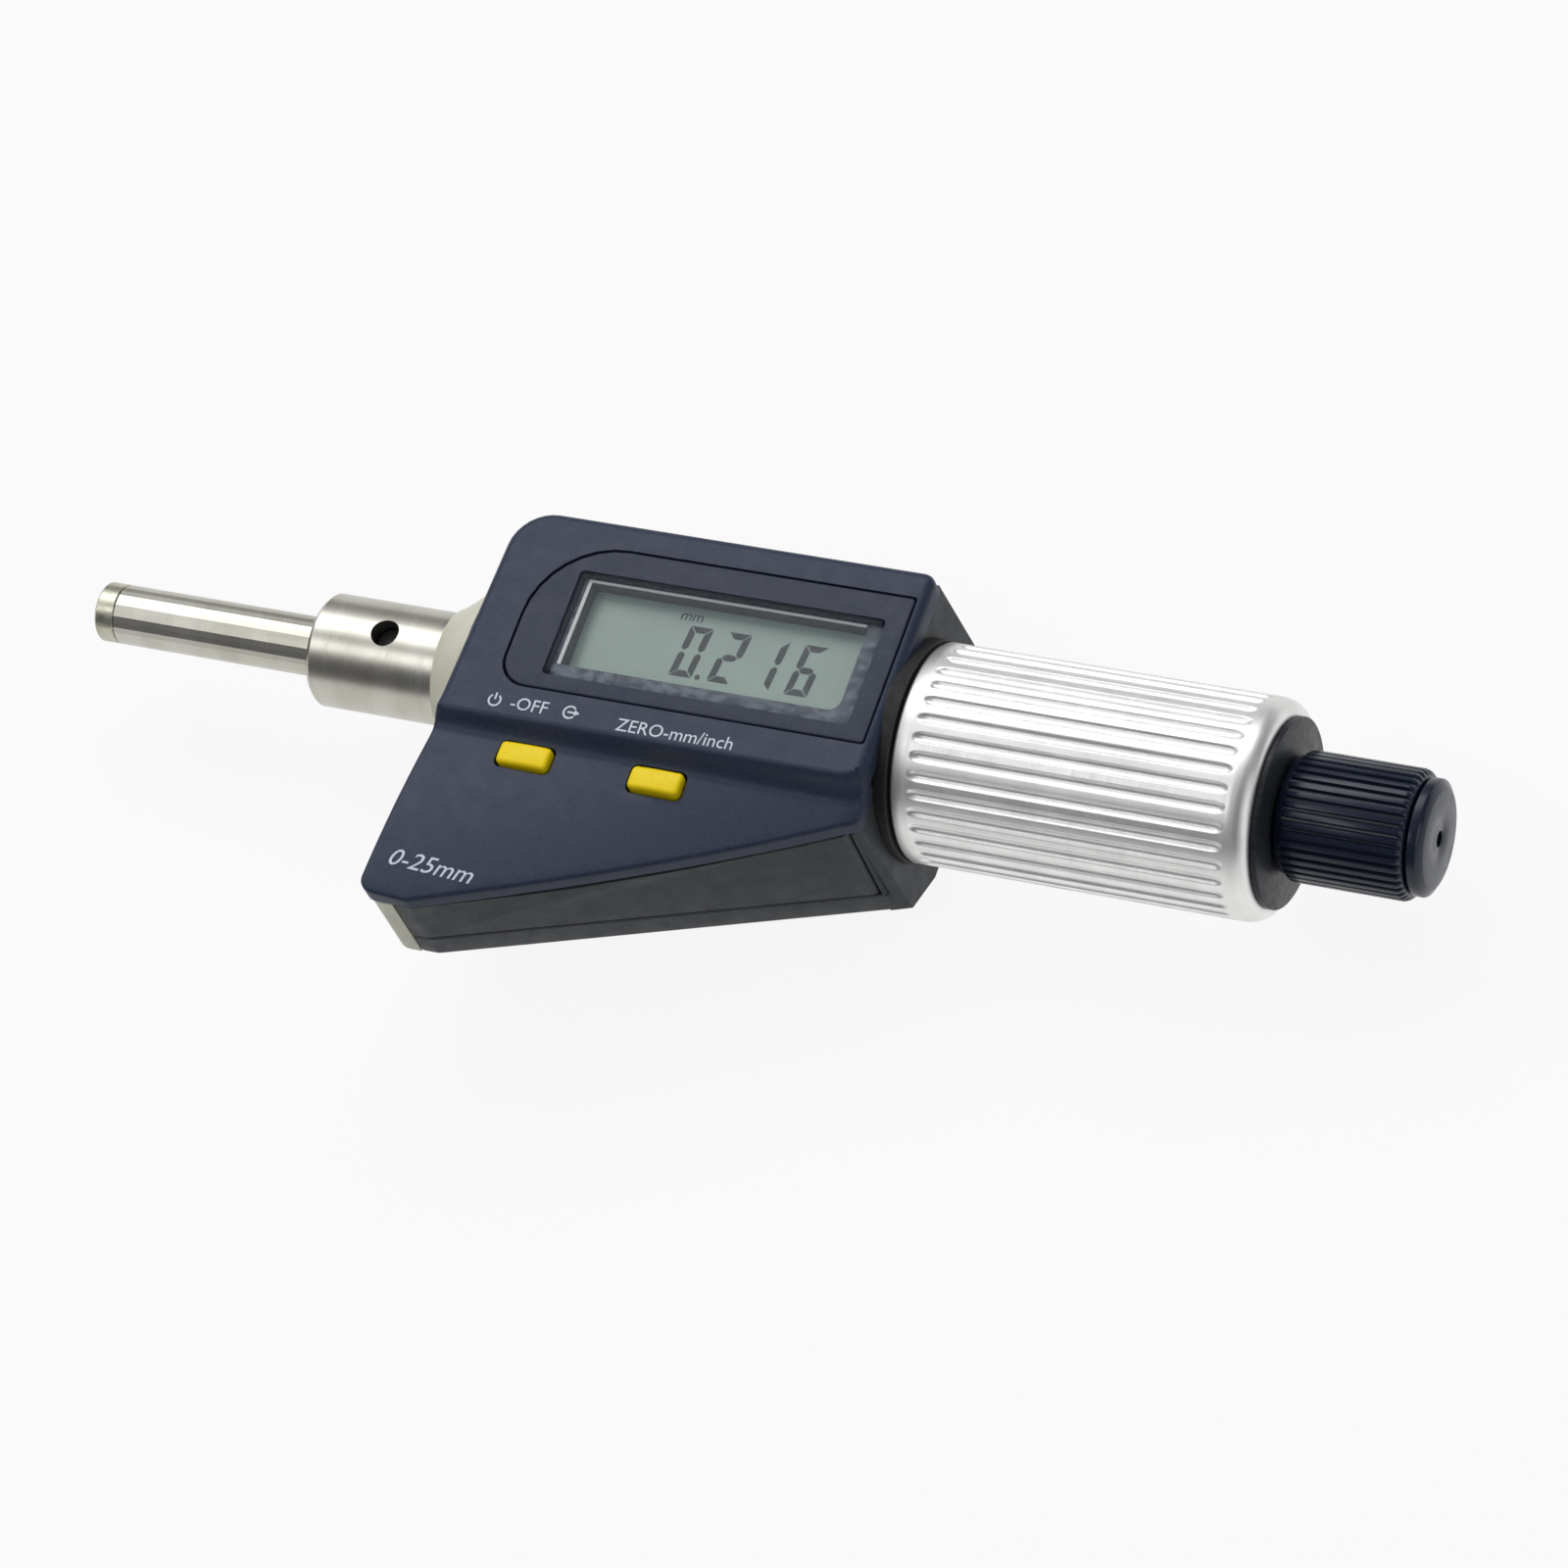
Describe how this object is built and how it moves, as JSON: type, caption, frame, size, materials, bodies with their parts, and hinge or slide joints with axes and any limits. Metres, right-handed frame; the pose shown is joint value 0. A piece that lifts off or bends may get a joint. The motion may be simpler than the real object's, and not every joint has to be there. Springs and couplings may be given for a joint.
{
  "type": "digital micrometer head",
  "caption": "micrometer head with a digital readout, a grooved thimble, a ratchet stop and a plain clamping stem",
  "frame": {"origin": "centre of the measuring face at the end of the spindle, with the spindle fully out", "axes": "+X runs along the spindle's axis from the measuring face to the ratchet; +Z is the way the display looks, and the head lies on its flat back; +Y is the top of the display's digits"},
  "size_m": [0.1499, 0.046, 0.0237],
  "materials": {
    "brushed_steel": "fine ground steel",
    "carbide": "lapped carbide, darker than the spindle",
    "cream_paint": "cream stoving paint on a casting",
    "shell_plastic": "fine textured blue-grey plastic",
    "cover_plastic": "fine textured dark grey plastic",
    "clear_window": "clear moulded window",
    "display_glass": "grey-green liquid crystal panel",
    "button_yellow": "yellow moulded plastic",
    "satin_aluminium": "satin anodised aluminium",
    "black_disc": "dark satin disc",
    "knob_plastic": "near-black moulded plastic",
    "rubber": "black rubber",
    "circuit_board": "green solder mask",
    "brass": "turned brass"
  },
  "bodies": {
    "housing": {"chassis": "cream_paint", "stem_sleeve": "brushed_steel", "spindle_seal": "rubber", "front_shell": "shell_plastic", "mid_frame": "cover_plastic", "display_bezel": "shell_plastic", "lens_window": "clear_window", "lcd_panel": "display_glass", "lcd_connector": "rubber", "circuit_board": "circuit_board", "button_pad": "rubber", "rear_cover": "cover_plastic", "battery": "brushed_steel", "battery_cap_seal": "rubber", "battery_contact": "brass", "rear_screw_1": "brushed_steel", "rear_screw_2": "brushed_steel", "rear_screw_3": "brushed_steel", "rear_screw_4": "brushed_steel", "encoder_stator": "circuit_board", "rotor_bracket": "brushed_steel", "inner_sleeve": "brushed_steel", "adjusting_nut": "brushed_steel"},
    "rotor": {"encoder_rotor": "brass"},
    "spindle": {"carbide_tip": "carbide", "spindle": "brushed_steel", "thimble": "satin_aluminium", "thimble_end_disc": "black_disc", "ratchet_bolt": "brushed_steel"},
    "ratchet": {"ratchet_knob": "knob_plastic", "ratchet_cap": "knob_plastic", "ratchet_plate": "brushed_steel", "ratchet_spring": "brushed_steel"},
    "set_button": {"set_button": "button_yellow"},
    "unit_button": {"unit_button": "button_yellow"},
    "battery_cap": {"battery_cap": "cover_plastic"}
  },
  "joints": [
    {"name": "thimble_turn", "type": "hinge", "parent": "housing", "child": "rotor", "pos_m": [0.0538, 0, 0], "axis": [1, 0, 0], "range_deg": [0, 18000]},
    {"name": "spindle_feed", "type": "slide", "parent": "rotor", "child": "spindle", "axis": [1, 0, 0], "range_m": [0, 0.025]},
    {"name": "ratchet_turn", "type": "hinge", "parent": "spindle", "child": "ratchet", "pos_m": [0.14, 0, 0], "axis": [1, 0, 0], "continuous": true},
    {"name": "set_press", "type": "slide", "parent": "housing", "child": "set_button", "axis": [0, 0, -1], "range_m": [0, 0.0005], "stiffness_N_per_m": 800},
    {"name": "unit_press", "type": "slide", "parent": "housing", "child": "unit_button", "axis": [0, 0, -1], "range_m": [0, 0.0005], "stiffness_N_per_m": 800},
    {"name": "cap_turn", "type": "hinge", "parent": "housing", "child": "battery_cap", "pos_m": [0.06, -0.019, -0.00689], "axis": [0, -0.421, -0.9071], "range_deg": [0, 60]}
  ],
  "couplings": [
    {"joint": "thimble_turn", "follows": "spindle_feed", "rad_per_m": 12566}
  ]
}
